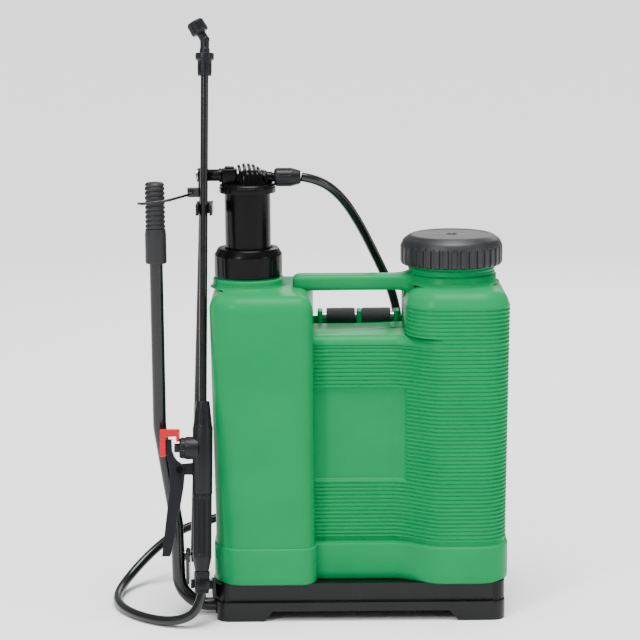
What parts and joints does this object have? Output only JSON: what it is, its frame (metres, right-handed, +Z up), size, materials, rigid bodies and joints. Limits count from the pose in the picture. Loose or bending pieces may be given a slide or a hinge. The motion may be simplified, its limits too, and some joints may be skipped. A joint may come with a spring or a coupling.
{
  "type": "backpack sprayer",
  "caption": "Knapsack sprayer: moulded tank on a base, side-lever piston pump, screw filler cap, shoulder straps, and a lance with a trigger valve on a hose.",
  "frame": {"origin": "middle of the tank's footprint, on the ground under the base", "axes": "+Z up, +X towards the filler side, +Y towards the wearer's back"},
  "size_m": [0.5235, 0.2585, 0.768],
  "materials": {
    "tank_green": "blow-moulded polyethylene, satin gloss",
    "black_plastic": "moulded polypropylene, gloss",
    "cap_black": "moulded polypropylene, satin",
    "valve_black": "moulded nylon, satin",
    "latch_red": "moulded plastic, gloss",
    "grip_rubber": "ribbed soft rubber",
    "painted_bar": "black enamelled steel",
    "lance_coat": "black coated tube",
    "steel": "zinc plated",
    "seal_rubber": "smooth",
    "valve_ball": "smooth",
    "basket": "moulded with a fine mesh",
    "webbing": "woven polypropylene webbing",
    "pad": "padded nylon cloth",
    "hose": "smooth PVC hose, gloss"
  },
  "bodies": {
    "root": {"tank_left": "tank_green", "tank_middle": "tank_green", "tank_right": "tank_green", "tank_handle": "tank_green", "strap_bar_lugs": "tank_green", "base_left": "black_plastic", "base_right": "black_plastic", "base_screws": "steel", "shaft_bush_outer": "black_plastic", "shaft_bush_inner": "black_plastic", "pump_barrel": "black_plastic", "foot_valve_seat": "black_plastic", "suction_strainer": "black_plastic", "neck_gasket": "seal_rubber", "ring_nut": "black_plastic", "strainer_basket": "basket", "strainer_floor": "basket", "strainer_rim": "basket", "lower_hose_nut": "valve_black", "lance_grip": "valve_black", "valve_body": "valve_black", "valve_boss_cap": "valve_black", "plunger_spring": "steel", "valve_top_nut": "valve_black", "lance_tube": "lance_coat", "lance_top_nut": "valve_black", "lance_elbow": "valve_black", "swirl_insert": "valve_black", "trigger_pin": "steel", "lance_holder": "black_plastic", "strap_bar": "steel", "strap_loop_left": "webbing", "strap_loop_right": "webbing", "strap_web_upper_left": "webbing", "strap_web_upper_right": "webbing", "strap_web_lower_left": "webbing", "strap_web_lower_right": "webbing", "shoulder_pad_left": "pad", "shoulder_pad_right": "pad", "hose_upper": "hose", "hose_lower": "hose"},
    "air_chamber": {"air_chamber_tube": "black_plastic", "air_chamber_cap": "black_plastic", "piston": "black_plastic", "piston_cup_seal": "seal_rubber", "dip_tube": "black_plastic", "upper_hose_nut": "black_plastic", "cross_arm": "black_plastic", "link_washer": "steel"},
    "lever": {"lever_bar": "painted_bar", "crank_ear": "painted_bar", "crank_bolt": "steel", "lever_grip": "grip_rubber", "shaft_end_washer": "steel"},
    "link": {"link_rod": "painted_bar", "lance_clip": "black_plastic"},
    "bail": {"lever_bail": "steel"},
    "filler_cap": {"filler_cap": "cap_black", "cap_breather": "black_plastic", "filler_gasket": "seal_rubber"},
    "trigger": {"trigger": "valve_black"},
    "latch": {"trigger_latch": "latch_red"},
    "plunger": {"valve_plunger": "valve_black"},
    "nozzle": {"nozzle_cap": "valve_black"},
    "foot_valve": {"foot_valve_ball": "valve_ball"},
    "outlet_valve": {"outlet_valve_ball": "valve_ball"}
  },
  "joints": [
    {"name": "lever_swing", "type": "hinge", "parent": "root", "child": "lever", "pos_m": [-0.187, -0.056, 0.013], "axis": [-1, 0, 0], "range_deg": [0, 60]},
    {"name": "pump_stroke", "type": "slide", "parent": "root", "child": "air_chamber", "axis": [0, 0, -1], "range_m": [0, 0.0535], "deforming": ["hose_upper"]},
    {"name": "link_tilt", "type": "hinge", "parent": "air_chamber", "child": "link", "pos_m": [-0.2005, 0, 0.568], "axis": [1, 0, 0], "range_deg": [0, 4.2]},
    {"name": "bail_lift", "type": "hinge", "parent": "link", "child": "bail", "pos_m": [-0.214, -0.003, 0.547], "axis": [0, 1, 0], "range_deg": [0, 95]},
    {"name": "cap_lift", "type": "slide", "parent": "root", "child": "filler_cap", "axis": [0, 0, 1], "range_m": [0, 0.12]},
    {"name": "trigger_squeeze", "type": "hinge", "parent": "root", "child": "trigger", "pos_m": [-0.23144, -0.08419, 0.20091], "axis": [0, -0.9838, 0.1792], "range_deg": [0, 12], "stiffness_Nm_per_rad": 1.5, "springref_deg": -8.59},
    {"name": "latch_flip", "type": "hinge", "parent": "trigger", "child": "latch", "pos_m": [-0.25017, -0.08049, 0.22122], "axis": [0, -0.9838, 0.1792], "range_deg": [0, 35]},
    {"name": "plunger_push", "type": "slide", "parent": "root", "child": "plunger", "axis": [-0.9999, 0.0023, 0.0129], "range_m": [0, 0.0062], "deforming": ["plunger_spring"]},
    {"name": "nozzle_turn", "type": "hinge", "parent": "root", "child": "nozzle", "pos_m": [-0.19527, 0.014, 0.74001], "axis": [-0.4977, 0.1554, 0.8533], "continuous": true},
    {"name": "foot_valve_lift", "type": "slide", "parent": "root", "child": "foot_valve", "axis": [0, 0, 1], "range_m": [0, 0.004]},
    {"name": "outlet_valve_lift", "type": "slide", "parent": "air_chamber", "child": "outlet_valve", "axis": [0, 0, 1], "range_m": [0, 0.004]}
  ],
  "couplings": [
    {"joint": "pump_stroke", "follows": "lever_swing", "m_per_rad": 0.05062},
    {"joint": "link_tilt", "follows": "lever_swing", "ratio": 0.066771},
    {"joint": "plunger_push", "follows": "trigger_squeeze", "m_per_rad": 0.0274}
  ]
}
